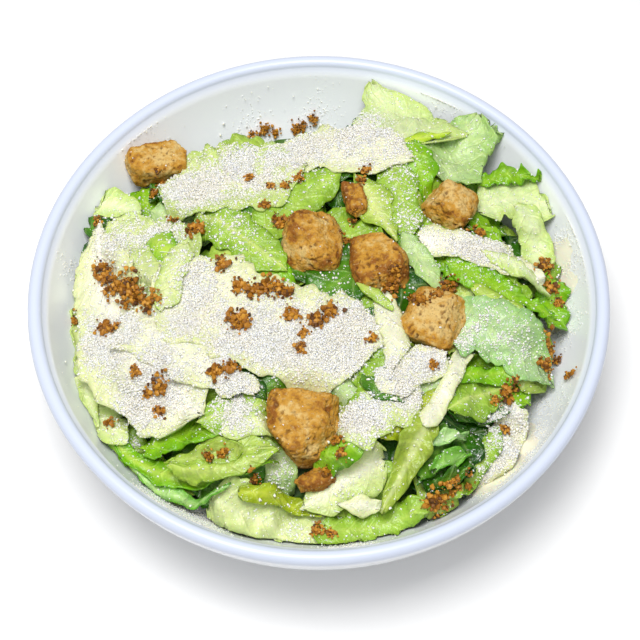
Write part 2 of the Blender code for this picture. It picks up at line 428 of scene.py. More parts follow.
class SALAD_OT_bowl(bpy.types.Operator):
    """Turns the bowl from its half section"""

    bl_idname = "salad.bowl"
    bl_label = "Bowl"

    def execute(self, context):
        settings = context.scene.salad_bowl
        half = RIM_WIDTH / 2
        section = [bezier(INNER_WALL, step / INSIDE_STEPS) for step in range(INSIDE_STEPS + 1)]
        section[-1].y -= half
        for step in range(1, RIM_STEPS):
            angle = math.pi * (1 - step / RIM_STEPS)
            across = RIM_RADIUS - half + half * math.cos(angle)
            section.append(Vector((across, BOWL_HEIGHT - half + half * math.sin(angle))))
        section += [bezier(OUTER_WALL, step / OUTSIDE_STEPS) for step in range(OUTSIDE_STEPS + 1)]
        foot = (
            (FOOT_OUTER, FOOT_EDGE_HEIGHT),
            (FOOT_OUTER - FOOT_EDGE, 0.0),
            (FOOT_INNER + FOOT_EDGE, 0.0),
            (FOOT_INNER, FOOT_EDGE_HEIGHT),
            (FOOT_INNER - 1.0, FOOT_RECESS),
        )
        section += [Vector(point) for point in foot]
        deselect()
        start = section[0]
        bpy.ops.mesh.primitive_circle_add(
            vertices=settings.segments,
            radius=start.x * MM,
            location=(0, 0, start.y * MM),
            fill_type="NOTHING",
        )
        bowl = context.object
        bpy.ops.object.transform_apply(location=True, rotation=True, scale=True)
        bpy.ops.object.mode_set(mode="EDIT")
        bpy.ops.mesh.select_all(action="SELECT")
        for before, here in zip(section, section[1:]):
            bpy.ops.mesh.extrude_region_move(
                TRANSFORM_OT_translate={"value": (0, 0, (here.y - before.y) * MM)}
            )
            grow = here.x / before.x
            bpy.ops.transform.resize(value=(grow, grow, 1), center_override=(0, 0, here.y * MM))
        bpy.ops.mesh.edge_face_add()
        bpy.ops.mesh.poke()
        bpy.ops.mesh.select_all(action="DESELECT")
        bpy.ops.mesh.select_mode(type="EDGE")
        bpy.ops.mesh.select_non_manifold()
        bpy.ops.mesh.edge_face_add()
        bpy.ops.mesh.poke()
        bpy.ops.mesh.select_all(action="SELECT")
        bpy.ops.mesh.normals_make_consistent(inside=False)
        bpy.ops.object.mode_set(mode="OBJECT")
        bowl.name = bowl.data.name = "glazed_bowl"
        shade(bowl, glaze_material(settings))
        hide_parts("bowl")
        return {"FINISHED"}


# ---------------------------------------------------------------- leaves

# Where the cheese fell: x, y, how far it spreads and how much of it.
SNOW = (
    (-20, -22, 14, 1.0), (0, -24, 13, 1.0), (10, -32, 9, 0.9), (-38, -8, 10, 0.8), (-70, -18, 12, 1.0),
    (-55, -36, 11, 1.0), (-62, -46, 8, 0.9), (-72, 22, 7, 0.6), (-43, 44, 15, 0.8), (-25, 48, 13, 0.75),
    (-7, 56, 10, 0.9), (14, 60, 11, 1.0), (21, 67, 7, 0.8), (30, 54, 6, 0.7), (25, 46, 8, 0.5),
    (29, 35, 8, 0.45), (31, 24, 7, 0.7), (-12, -66, 6, 0.7), (52, 12, 9, 0.9), (65, 10, 8, 0.7),
    (14, -52, 8, 1.0), (28, -44, 7, 1.0), (36, -32, 7, 0.9), (-26, -50, 8, 0.8), (-58, 24, 10, 0.7),
    (-66, 34, 6, 0.5), (60, -16, 9, 0.5), (47, -22, 8, 0.5), (72, -22, 6, 0.4), (56, -48, 5, 0.7),
    (62, -54, 8, 1.0), (66, -46, 6, 0.9), (54, -64, 5, 0.8), (-46, -15, 7, 0.8), (-30, -28, 6, 0.8),
    (-28, -40, 6, 0.9), (14, -14, 8, 0.8), (-44, 4, 7, 0.6), (22, -36, 6, 0.8), (-28, 22, 8, 0.35),
    (10, -72, 7, 0.4), (-10, -82, 8, 0.35),
)


def snow(points):
    """How much cheese fell on each point, from 0 to 1."""
    bare = np.ones(points.shape[:-1])
    for x, y, spread, amount in SNOW:
        apart = (points[..., 0] - x) ** 2 + (points[..., 1] - y) ** 2
        bare *= 1 - amount * np.exp(-apart / spread**2)
    return 1 - bare


# Colours of a leaf from its rib over its blade to its margin.
TONES = {
    "white": ("F0F0DA", "E2E6C4", "CCD49C"),
    "pale": ("E4EAC4", "C6D592", "AEC46E"),
    "heart": ("E2EAC6", "CCDEA0", "B4CC76"),
    "lime": ("C8D886", "A3BC52", "8AA838"),
    "fresh": ("B6CA70", "92B642", "789E28"),
    "vivid": ("A6C64C", "7EB01A", "66A00C"),
    "mint": ("C6DAB0", "A8CA8E", "8CB86E"),
    "zest": ("D6E684", "B2D03C", "98BA24"),
    "sage": ("CCDCAC", "AECA88", "94B66A"),
    "spring": ("A8CE80", "7CB24C", "5C9A2A"),
    "celery": ("D0DC9C", "9CB048", "869C34"),
    "deep": ("7C9E44", "4C7C1A", "2C5C0A"),
    "dark": ("4C7A1E", "2E6008", "174204"),
    "olive": ("C2C85C", "A2B424", "869816"),
}

# How a torn piece narrows at its two ends, as shares of its length.
SHAPES = {
    "torn": (0.16, 0.20),
    "point": (0.10, 0.85),
    "ribbon": (0.35, 0.45),
    "boat": (0.50, 0.50),
    "block": (0.07, 0.07),
    "fan": (0.65, 0.12),
    "tongue": (0.12, 0.70),
}


class Leaf:
    """A torn piece of leaf. It bends from start towards middle to end, and is width wide on
    each side. cup lifts its margins, or with a minus drapes them, ruffle waves them, rib is
    the midrib's width, bank lifts the left margin, and cheese is how much lies on it."""

    def __init__(
        self, start, middle, end, width, tone, shape="torn",
        cup=0.0, ruffle=0.6, rib=0.0, bank=0.0, cheese=0.0,
    ):
        self.points = (start, middle, end)
        self.width = width
        self.tone = tone
        self.shape = shape
        self.cup = cup
        self.ruffle = ruffle
        self.rib = rib
        self.bank = bank
        self.cheese = cheese


# The leaves that show, from the lowest to the topmost.
LEAVES = {
    "front_left_pale": Leaf(
        (-36, -75, 34), (-18, -85, 35), (6, -84, 34), 8, "pale", cup=-1, ruffle=1.2, cheese=0.6
    ),
    "wall_green_left": Leaf(
        (-70, -44, 30), (-62, -60, 30), (-46, -74, 32), 7, "fresh", ruffle=1.5, cheese=0.4
    ),
    "sprig": Leaf(
        (-71, -49, 35), (-66, -59, 36), (-57, -66, 36), 4, "vivid", ruffle=1.6, rib=1, cheese=0.05
    ),
    "front_right_leaf": Leaf(
        (-2, -84, 34), (17, -84, 36), (38, -75, 36), 6, "fresh", ruffle=2.0, cheese=0.2
    ),
    "front_strip": Leaf(
        (-26, -75, 37), (-14, -74, 41), (1, -79, 37), 3.6, "olive", "boat", cup=1, cheese=0.03
    ),
    "trough_edge": Leaf(
        (-63, -60, 34), (-48, -80, 34), (-28, -73, 37), 2.2, "spring", "ribbon", cup=1, rib=1
    ),
    "trough": Leaf((-69, -52, 35), (-50, -76, 35), (-13, -65, 45), 4, "vivid", "ribbon", cup=2.5, rib=1.5),
    "drift_floor": Leaf((66, -40, 37), (64, -54, 35), (52, -68, 32), 6.5, "white", ruffle=0.3, cheese=1.0),
    "front_fan": Leaf((22, -62, 43), (8, -69, 43), (-6, -77, 38), 8, "pale", cup=-1, rib=2, cheese=0.3),
    "front_green": Leaf((-2, -66, 43), (6, -62, 46), (16, -60, 45), 5, "vivid", ruffle=1.2, cheese=0.08),
    "front_white_fold": Leaf(
        (6, -76, 39), (13, -78, 39), (22, -76, 38), 3.5, "white", "boat", cup=-2, cheese=0.3
    ),
    "dark_margin": Leaf(
        (59, -49, 37), (57, -62, 35), (42, -75, 33), 3.6, "fresh", "ribbon", ruffle=1.8, cheese=0.25
    ),
    "dark_ruffle": Leaf((50, -50, 39), (44, -60, 40), (35, -73, 36), 8, "dark", ruffle=2.6, cheese=0.02),
    "dark_fringe": Leaf((42, -52, 42), (39, -62, 42), (32, -71, 38), 4, "deep", ruffle=2.6, cheese=0.05),
    "dark_lobe_a": Leaf(
        (37, -68, 40), (42, -63, 42), (50, -60, 40), 2.8, "spring", "boat", cup=2.2, ruffle=1.8
    ),
    "dark_lobe_b": Leaf(
        (36, -60, 43), (42, -57, 44), (49, -54, 42), 2.6, "mint", "boat", cup=2.2, ruffle=1.8
    ),
    "dark_lobe_c": Leaf(
        (38, -72, 37), (44, -69, 39), (50, -64, 37), 2.6, "deep", "boat", cup=2.0, ruffle=1.8
    ),
    "frost_edge": Leaf(
        (40, -47, 44), (52, -47, 42), (64, -44, 37), 3.5, "deep", "ribbon", ruffle=2.0, cheese=0.8
    ),
    "green_wedge": Leaf(
        (42, -48, 45), (52, -40, 45), (70, -31, 40), 7, "fresh", "ribbon", cup=-1, rib=1, cheese=0.08
    ),
    "green_wedge_top": Leaf((44, -34, 47), (56, -33, 45), (68, -28, 41), 4, "vivid", cup=-1, cheese=0.1),
    "olive_strip": Leaf(
        (20, -59, 46), (31, -50, 48), (43, -38, 48), 5, "olive", "ribbon", cup=1, cheese=0.25
    ),
    "boat_back": Leaf(
        (-50, -63, 38), (-32, -60, 44), (-13, -62, 46), 4.5, "lime", "boat", cup=2, cheese=0.15
    ),
    "boat_floor": Leaf((-47, -63, 37), (-31, -63, 41), (-14, -62, 45), 4.5, "lime", "boat", cup=0.5),
    "boat_front": Leaf(
        (-49, -64, 38), (-32, -75, 42), (-12, -61, 46), 4, "lime", "boat", cup=2, cheese=0.03
    ),
    "vivid_leaf": Leaf(
        (-60, -56, 38), (-43, -53, 48), (-27, -47, 50), 6.5, "vivid", cup=-2, bank=-1, cheese=0.02
    ),
    "mid_left_leaf": Leaf(
        (-40, -52, 45), (-26, -47, 50), (-13, -47, 50), 7, "fresh", cup=-1, rib=1, cheese=0.75
    ),
    "left_of_bread": Leaf((-32, -56, 46), (-22, -54, 47), (-13, -52, 49), 4.5, "pale", cheese=0.7),
    "right_of_bread": Leaf((6, -58, 47), (19, -50, 50), (34, -42, 50), 9, "pale", cheese=0.95),
    "under_gap_left": Leaf((-50, -15, 46), (-32, -31, 47), (-17, -45, 47), 5, "dark", ruffle=1.5),
    "under_gap_moss": Leaf(
        (-40, -25, 48), (-31, -33, 49), (-22, -42, 49), 2.5, "deep", ruffle=1.8, cheese=0.3
    ),
    "dark_gap": Leaf((20, 8, 53), (30, -2, 53), (40, -14, 51), 7, "dark", ruffle=1.5),
    "green_triangle": Leaf((14, -37, 52), (20, -43, 51), (28, -47, 49), 4.5, "deep", "boat", cheese=0.02),
    "white_heap": Leaf((20, -44, 51), (31, -33, 53), (43, -26, 51), 7, "white", cheese=1.0),
    "ribbon_blade": Leaf(
        (38, -50, 47), (30, -62, 46), (20, -79, 37), 5.2, "celery", "ribbon", cup=1, rib=0.9, cheese=0.06
    ),
    "ribbon_rib": Leaf(
        (49, -23, 50), (44, -38, 50), (34, -55, 48), 2.8, "white", "block", ruffle=0.2, cheese=0.4
    ),
    "right_ruffle": Leaf((82, 10, 38), (84, 0, 37), (79, -12, 37), 6, "vivid", ruffle=2.2, cheese=0.2),
    "ruffle_band": Leaf(
        (44, 9, 52), (62, -3, 48), (81, -10, 38), 6, "vivid", "ribbon", cup=-1, ruffle=1.8, cheese=0.15
    ),
    "band_lime": Leaf(
        (52, -2, 49), (64, -10, 46), (78, -18, 39), 4, "lime", "ribbon", cup=-1, ruffle=1.2, cheese=0.2
    ),
    "mint_sheet": Leaf(
        (42, -18, 50), (61, -14, 48), (81, -31, 35), 11, "mint", cup=-1, ruffle=1.2, cheese=0.75
    ),
    "right_heart": Leaf(
        (57, 35, 45), (70, 45, 45), (86, 36, 42), 9, "heart", cup=1, ruffle=0.9, cheese=0.15
    ),
    "right_heart_skirt": Leaf(
        (70, 36, 43), (80, 27, 41), (76, 11, 39), 6, "heart", cup=1.5, ruffle=1.0, cheese=0.2
    ),
    "curl": Leaf((57, 44, 43), (70, 54, 44), (80, 47, 48), 4.2, "vivid", "ribbon", cup=2, ruffle=2.4),
    "back_right_lobe": Leaf((54, 60, 45), (61, 69, 46), (69, 73, 50), 5, "sage", ruffle=1.6, cheese=0.15),
    "back_right_leaf": Leaf((45, 42, 47), (50, 58, 46), (59, 74, 48), 11, "sage", ruffle=2.0, cheese=0.35),
    "back_point": Leaf(
        (31, 56, 43), (28, 73, 43), (20, 92, 47), 22, "heart", "point", ruffle=0.1, cheese=0.5
    ),
    "back_point_fold": Leaf(
        (27, 57, 48), (37, 59, 47), (48, 64, 44), 3.2, "zest", "boat", cup=-1, ruffle=0.2
    ),
    "yellow_green_top": Leaf(
        (33, 58, 48), (36, 46, 50), (39, 32, 52), 6, "vivid", "ribbon", cup=1, cheese=0.15
    ),
    "dusty_top": Leaf((24, 52, 50), (30, 37, 54), (31, 17, 56), 6, "fresh", ruffle=1.2, cheese=0.5),
    "white_rib": Leaf((34, 18, 55), (55, 13, 51), (79, 7, 41), 7, "white", cup=-1.5, rib=4, cheese=0.85),
    "rib_stub": Leaf(
        (56, 12, 48), (68, 8, 46), (81, 2, 41), 4.2, "heart", "boat", cup=-2.5, ruffle=0.1, cheese=0.05
    ),
    "pale_fold": Leaf((29, 20, 55), (36, 8, 55), (45, -9, 52), 4, "sage", "ribbon", cup=1, cheese=0.3),
    "pale_strip_top": Leaf(
        (13, 45, 52), (19, 32, 55), (27, 16, 57), 5.5, "lime", "ribbon", cup=1, rib=2, cheese=0.3
    ),
    "vivid_top": Leaf(
        (-22, 18, 55), (-10, 31, 57), (8, 46, 53), 8, "fresh", cup=-1, ruffle=1.3, cheese=0.3
    ),
    "light_green_left": Leaf(
        (-44, 31, 49), (-28, 18, 56), (-11, 4, 57), 8, "fresh", cup=-1, ruffle=1.3, rib=1, cheese=0.6
    ),
    "back_sheet": Leaf((-16, 56, 47), (6, 58, 50), (34, 49, 48), 9.5, "white", ruffle=1.4, cheese=0.9),
    "back_left_sheet": Leaf(
        (-57, 46, 42), (-32, 41, 50), (-4, 48, 51), 17, "pale", ruffle=1.2, cheese=0.95
    ),
    "left_tip": Leaf((-83, 43, 40), (-76, 41, 39), (-64, 36, 42), 5.5, "heart", cup=1, cheese=0.1),
    "left_low_tip": Leaf((-84, 33, 35), (-74, 28, 38), (-64, 17, 43), 5, "deep", "ribbon", cheese=0.5),
    "left_mid_sheet": Leaf((-74, 32, 39), (-57, 21, 48), (-42, 3, 53), 11, "pale", ruffle=1.2, cheese=0.8),
    "rib_chunk": Leaf((-58, 21, 49), (-53, 14, 52), (-47, 4, 53), 5, "vivid", "block", cup=-2.5, rib=3),
    "left_gap": Leaf((-68, 12, 43), (-58, 3, 46), (-49, -6, 48), 7, "pale", cheese=0.9),
    "left_low": Leaf((-84, -22, 34), (-81, -40, 34), (-64, -54, 33), 6, "pale", cheese=0.4),
    "left_sheet_edge": Leaf(
        (-81, 20, 33), (-88, -12, 34), (-74, -48, 33), 5, "pale", "ribbon", cup=1, cheese=0.05
    ),
    "left_sheet": Leaf(
        (-78, 30, 34), (-80, -14, 46), (-38, -50, 47), 18.5, "white", "fan", cup=-2, rib=4, cheese=0.95
    ),
    "left_fold": Leaf(
        (-68, -12, 47), (-48, -29, 50), (-20, -43, 51),
        11.5, "white", "tongue", cup=-1.5, ruffle=0.9, cheese=0.95,
    ),
    "centre_sheet": Leaf(
        (-55, 6, 49), (-20, -28, 64), (25, -21, 56), 18.5, "white", cup=-2, ruffle=1.3, cheese=0.95
    ),
    "centre_lobe": Leaf(
        (-46, 16, 51), (-50, 4, 53), (-53, -12, 49), 5, "pale", cup=-1, ruffle=2.2, cheese=0.7
    ),
    "centre_roll": Leaf(
        (21, -4, 58), (28, -22, 57), (23, -40, 51), 5.5, "white", "ribbon", cup=-3, ruffle=1.0, cheese=0.85
    ),
    "centre_crest": Leaf(
        (12, -2, 59), (19, -5, 60), (25, -12, 58), 3, "lime", "boat", cup=-1.5, cheese=0.2
    ),
}

# The gap between a leaf and what it lies on, and how often that gap's lift is eased outwards.
LEAF_GAP = 0.6
EASINGS = 4
# How far the top of the heap sinks under its own weight, as a share, and the height it starts at.
SETTLING = 0.5
SETTLED_BELOW = 53.0
# The grid that holds the heap's height.
CELL = 1.5
CELLS = 140
# How deep bread sinks into the leaves, as a share of half its height, how far its footprint
# reaches, how steeply the leaves rise round it, and how much each one lies over the last.
CROUTON_SINKS = 0.4
SHARD_SINKS = -0.5
BREAD_FOOTPRINT = 0.52
RISE_ROUND_BREAD = 18.0
LEAF_OVER_LEAF = 0.03
# Lengths of what shapes a leaf: its folds and puckers, the waves of its ruffled margin, the
# lobes, nicks and teeth of its outline, and the tears of its ends.
WIDE_FOLD = 16.0
SMALL_FOLD = 4.2
PUCKER = 5.5
RUFFLE = 8.5
FINE_RUFFLE = 3.9
LOBE = 13.0
NICK = 7.0
TOOTH = 1.7
TEAR = 6.0
FINE_TEAR = 2.2
TEAR_DEPTH = 4.0
# How far from the bowl's axis the small leaves start.
FILLED_RADIUS = 76.0


class Pile:
    """Height of what lies in the bowl so far, on a square grid of cells."""

    def __init__(self):
        self.heights = np.zeros((CELLS, CELLS))
        self.leaves = 0

    def cells(self, points):
        found = np.round(points[..., :2] / CELL).astype(int) + CELLS // 2
        return np.clip(found, 1, CELLS - 2)

    def add(self, points):
        found = self.cells(points)
        np.maximum.at(self.heights, (found[..., 0], found[..., 1]), points[..., 2])
        self.leaves += 1

    def top(self, points):
        """The highest point in the cells round each point."""
        found = self.cells(points)
        near = [
            self.heights[found[..., 0] + i, found[..., 1] + j] for i in (-1, 0, 1) for j in (-1, 0, 1)
        ]
        return np.max(near, axis=0)


def blur(values):
    """The same grid of numbers, each averaged with its neighbours."""
    padded = np.pad(values, 1, mode="edge")
    parts = [
        padded[1 + i : padded.shape[0] - 1 + i, 1 + j : padded.shape[1] - 1 + j]
        for i in (-1, 0, 1)
        for j in (-1, 0, 1)
    ]
    return np.mean(parts, axis=0)


def taper(along, shape):
    """Share of the full width at each place along a leaf."""
    into, out = SHAPES[shape]
    return np.clip(along / into, 0.02, 1) ** 0.55 * np.clip((1 - along) / out, 0.02, 1) ** 0.75


def keep_inside_bowl(points, gap):
    """Moves points that reach through the bowl's wall back inside it."""
    radius = np.hypot(points[..., 0], points[..., 1])
    limit = wall_radius(points[..., 2]) - gap
    scale = np.minimum(1, limit / np.maximum(radius, 0.001))
    points[..., 0] *= scale
    points[..., 1] *= scale
    points[..., 2] = np.maximum(points[..., 2], FLOOR_HEIGHT + 1)


def keep_under_bread(points, below):
    """Presses leaf points down where bread lies on them, less the more leaves lie below."""
    for name in CROUTONS:
        low, high = (np.array(corner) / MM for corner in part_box(name))
        centre, half = (low + high) / 2, (high - low) / 2
        apart = (((points[..., :2] - centre[:2]) / half[:2]) ** 2).sum(axis=-1)
        sunk = CROUTON_SINKS if name.startswith("crouton") else SHARD_SINKS
        rise = RISE_ROUND_BREAD * np.clip(apart - BREAD_FOOTPRINT, 0, 9)
        limit = centre[2] - sunk * half[2] + rise + LEAF_OVER_LEAF * below
        points[..., 2] = np.minimum(points[..., 2], limit)


def ragged_margin(flat, seed):
    """How far each side of a leaf reaches past its plain outline: lobes, nicks and teeth."""
    sides = np.stack([flat[:, 0], 40.0 * np.sign(flat[:, 1]), flat[:, 2]], axis=-1)
    lobes = field(sides, LOBE, seed + 0.7)
    nicks = np.abs(field(sides, NICK, seed + 0.8))
    return lobes + 1.1 * nicks - 0.3 + 0.18 * field(sides, TOOTH, seed)


def torn_ends(flat, seed):
    """How far a leaf's ends are torn back, the same all along each line of its length."""
    lines = flat * (0, 1, 1)
    return field(lines, TEAR, seed + 0.3) + 0.5 * field(lines, FINE_TEAR, seed + 0.4)


def relief(leaf, along, across, wide, small, puckered, reach, seed):
    """How high a leaf stands over its spine: cupped, ruffled at its margins and puckered."""
    margin = np.abs(across)
    turn = random.Random(seed).random() + np.where(across > 0, 0.4, 0.0)
    waves = np.sin(2 * math.pi * (along * reach / RUFFLE + turn) + 2.8 * wide)
    waves = waves + 0.45 * np.sin(2 * math.pi * (along * reach / FINE_RUFFLE + turn) + 2.0 * small)
    lively = min(1, 0.25 + leaf.ruffle)
    lift = leaf.cup * (margin**2 - 0.35)
    lift = lift + leaf.ruffle * margin**1.6 * waves + leaf.bank * across
    lift = lift + lively * ((0.8 + 0.14 * leaf.width) * wide + (0.5 + 0.03 * leaf.width) * small)
    lift = lift + (0.1 + 0.55 * min(leaf.ruffle, 1.5)) * puckered
    if leaf.rib:
        lift = lift + 1.1 * np.exp(-((across * leaf.width / leaf.rib) ** 2)) * (1 - 0.5 * along)
    return lift


def drape(points, pile):
    """Lifts a leaf's points clear of the pile, and eases that lift into the leaf round them."""
    raised = np.maximum(pile.top(points) + LEAF_GAP - points[..., 2], 0)
    eased = raised
    for _ in range(EASINGS):
        eased = np.maximum(raised, blur(eased))
    points[..., 2] += eased


def spine_of(leaf, along):
    """Points along a leaf's bend, and the directions to its left and out of its face there."""
    start, middle, end = (np.array(point, float) for point in leaf.points)
    t = along[..., None]
    spine = (1 - t) ** 2 * start + 2 * t * (1 - t) * middle + t**2 * end
    tangent = 2 * (1 - t) * (middle - start) + 2 * t * (end - middle)
    tangent /= np.linalg.norm(tangent, axis=-1, keepdims=True)
    side = np.cross(np.array([0, 0, 1.0]), tangent)
    side /= np.linalg.norm(side, axis=-1, keepdims=True)
    return spine, side, np.cross(tangent, side)


def leaf_points(leaf, step, seed, pile):
    """The grid of points of a leaf, draped on the pile, and the places and noise on it."""
    start, middle, end = (np.array(point, float) for point in leaf.points)
    reach = np.linalg.norm(middle - start) + np.linalg.norm(end - middle)
    rows = max(8, round(reach / step))
    columns = max(8, round(2 * leaf.width / step))
    along, across = np.meshgrid(
        np.linspace(0, 1, rows + 1), np.linspace(-1, 1, columns + 1), indexing="ij"
    )
    grid = along.shape
    flat = np.stack([along * reach, across * leaf.width, np.zeros_like(along)], axis=-1)
    flat = flat.reshape(-1, 3)
    wide = field(flat, WIDE_FOLD, seed).reshape(grid)
    small = field(flat, SMALL_FOLD, seed + 0.5).reshape(grid)
    ragged = ragged_margin(flat, seed).reshape(grid)
    puckered = 0.5 - np.abs(field(flat, PUCKER, seed + 0.9)).reshape(grid) * 2
    torn = torn_ends(flat, seed).reshape(grid)
    along = along + torn * TEAR_DEPTH / reach * np.abs(2 * along - 1) ** 3
    along = np.clip(along, 0, 1)
    spine, side, up = spine_of(leaf, along)
    half = leaf.width * taper(along, leaf.shape) + np.minimum(1.0 + 0.22 * leaf.width, 4.0) * ragged
    half = np.maximum(half, 0.4)
    lift = relief(leaf, along, across, wide, small, puckered, reach, seed)
    points = spine + side * (across * half)[..., None] + up * lift[..., None]
    drape(points, pile)
    keep_under_bread(points, pile.leaves)
    keep_inside_bowl(points, 1.0)
    pile.add(points)
    points[..., 2] -= SETTLING * np.maximum(points[..., 2] - SETTLED_BELOW, 0)
    return points, along, across, wide, small


def leaf_colours(leaf, along, across, wide, small):
    """Colours that go from the rib over the blade to the margin, with painted shade that is lighter on the
    folds' crests and darker in their hollows.
    """
    rib, blade, margin = (np.array(linear(tone)) for tone in TONES[leaf.tone])
    edge = np.abs(across)
    rib_share = np.exp(-((across * leaf.width / max(leaf.rib, 0.8)) ** 2)) * (1.0 if leaf.rib else 0.35)
    to_margin = smooth((edge - 0.25 + 0.35 * wide + 0.2 * small) / 0.75)[..., None]
    colours = blade + (margin - blade) * to_margin
    colours = colours + (rib - colours) * rib_share[..., None]
    # Painted shade: lighter where the leaf's folds rise and darker in their hollows.
    return colours * (1 + 0.10 * small[..., None] + 0.12 * wide[..., None])


def cheese_on(leaf, points, across, wide, small):
    """How much cheese lies on each point of a leaf: patchy, less at its margins and none
    where it stands steep."""
    fallen = snow(points) * (0.2 + 0.85 * leaf.cheese) + 0.15 * leaf.cheese
    patch = smooth(0.35 + 0.5 * fallen + 0.9 * wide + 0.9 * small)
    cover = fallen * (0.25 + 0.75 * patch) * (1 - 0.4 * smooth((np.abs(across) - 0.75) / 0.25))
    facing = np.cross(np.gradient(points, axis=0), np.gradient(points, axis=1))
    level = np.abs(facing[..., 2]) / np.maximum(np.linalg.norm(facing, axis=-1), 1e-6)
    return np.clip(cover * smooth((level - 0.05) / 0.3), 0, 1)


def map_veins(piece, leaf, along, across):
    """Lays the leaf's own UV in centimetres along and across it, for its veins."""
    reach = sum((Vector(b) - Vector(a)).length for a, b in zip(leaf.points, leaf.points[1:]))
    flat = np.stack([along, across], axis=-1).reshape(-1, 2) * (reach / 10, leaf.width / 10)
    corners = np.empty(len(piece.data.loops), np.int32)
    piece.data.loops.foreach_get("vertex_index", corners)
    uv = piece.data.uv_layers[0].data
    uv.foreach_set("uv", np.ascontiguousarray(flat[corners], np.float32).ravel())


def add_leaf(leaf, step, thickness, seed, pile):
    """One leaf as a mesh: a grid shaped along its bend, coloured and thickened."""
    points, along, across, wide, small = leaf_points(leaf, step, seed, pile)
    rows, columns = along.shape
    deselect()
    bpy.ops.mesh.primitive_grid_add(x_subdivisions=columns - 1, y_subdivisions=rows - 1, size=1)
    piece = bpy.context.object
    set_points(piece, points.reshape(-1, 3) * MM)
    colours = leaf_colours(leaf, along, across, wide, small)
    set_values(piece, "tone", np.clip(colours.reshape(-1, 3), 0, 1))
    set_values(piece, "cheese", cheese_on(leaf, points, across, wide, small).reshape(-1))
    map_veins(piece, leaf, along, across)
    if np.cross(points[0, 1] - points[0, 0], points[1, 0] - points[0, 0])[2] < 0:
        piece.data.flip_normals()
    apply_modifier(piece, "SOLIDIFY", thickness=thickness, offset=-1)
    return piece


def filler_leaves(count, rand):
    """Small leaves that fill the heap under the ones that show, darker towards its depth."""
    for _ in range(count):
        radius = FILLED_RADIUS * math.sqrt(rand.random())
        angle = rand.uniform(0, 2 * math.pi)
        x, y = radius * math.cos(angle), radius * math.sin(angle)
        turn = rand.uniform(0, 2 * math.pi)
        reach = rand.uniform(10, 18)
        base = float(mound_height(radius)) - rand.uniform(1.5, 7.5)
        ends = []
        for direction in (-1, 0, 1):
            px = x + direction * reach * math.cos(turn) + rand.uniform(-3, 3)
            py = y + direction * reach * math.sin(turn) + rand.uniform(-3, 3)
            ends.append((px, py, base + rand.uniform(-3, 2) + (2 if direction == 0 else 0)))
        tone = rand.choice(("deep", "fresh", "fresh", "vivid", "dark", "lime", "sage"))
        width, ruffle = rand.uniform(6, 10), rand.uniform(0.8, 2.2)
        yield Leaf(*ends, width, tone, ruffle=ruffle, cheese=rand.choice((0.1, 0.3, 0.6)))


def leaf_material():
    """Fresh romaine: a thin waxy blade, moist and half translucent, so it has a soft gloss and
    glows a little. Its veins are raised and pale, and dry cheese powder dulls it to white."""
    material, tree, shader = new_material("romaine blade", IOR=1.4, Subsurface_Weight=0.25)
    shader.inputs["Subsurface Radius"].default_value = (0.6, 1.0, 0.25)
    shader.inputs["Subsurface Scale"].default_value = 0.002
    tone = node(tree, "ShaderNodeAttribute", attribute_name="tone").outputs["Color"]
    cheese = node(tree, "ShaderNodeAttribute", attribute_name="cheese").outputs["Fac"]
    uv = node(tree, "ShaderNodeSeparateXYZ", {0: node(tree, "ShaderNodeTexCoord").outputs["UV"]})
    aside = math_node(tree, "ABSOLUTE", uv.outputs[1])
    sweep = add(tree, uv.outputs[0], times(tree, aside, -0.9))
    sweep = add(tree, sweep, times(tree, grit(tree, 9, 1.0), 0.25))
    wave = math_node(tree, "ABSOLUTE", math_node(tree, "SINE", times(tree, sweep, math.pi / 0.7)))
    vein = math_node(tree, "SUBTRACT", 1.0, ramp(tree, wave, 0.0, 0.42))
    pale = blend(tree, 0.35, tone, rgba(linear("E8F0B0")), "ADD")
    colour = blend(tree, times(tree, vein, 0.28), tone, pale)
    mottle = times(tree, ramp(tree, grit(tree, 3.0, 3.0), 0.35, 0.65), 0.4)
    colour = blend(tree, mottle, colour, rgba(linear("F2F6C8")), "SOFT_LIGHT")
    speck = grit(tree, 0.8, 4.0)
    level = math_node(tree, "SUBTRACT", 0.76, times(tree, cheese, 0.38))
    powder = ramp(tree, math_node(tree, "SUBTRACT", speck, level), -0.07, 0.09)
    powder = times(tree, powder, math_node(tree, "MINIMUM", times(tree, cheese, 3.0), 1.0))
    colour = blend(tree, powder, colour, rgba(linear("FAF9F0")))
    tree.links.new(colour, shader.inputs["Base Color"])
    tree.links.new(add(tree, 0.3, times(tree, powder, 0.4)), shader.inputs["Roughness"])
    height = add(tree, times(tree, vein, 0.4), times(tree, grit(tree, 2.0, 2.0), 1.3))
    height = add(tree, height, times(tree, powder, 0.35))
    bump(tree, shader, height, 0.6, 0.8)
    return material


def core_shade_material(settings):
    """Leaves pressed together deep in the heap, glossy and crumpled, and painted dark green as the shade
    that falls there.
    """
    material, tree, shader = new_material("pressed wet leaves", Roughness=0.45, IOR=1.38)
    # Painted shade: the heap's inside is coloured dark green for the shade deep in it.
    colour = blend(tree, grit(tree, 6, 4.0), rgba(settings.core), rgba(linear("4E7A1E")))
    tree.links.new(colour, shader.inputs["Base Color"])
    bump(tree, shader, grit(tree, 4, 4.0), 1.2, 0.8)
    return material


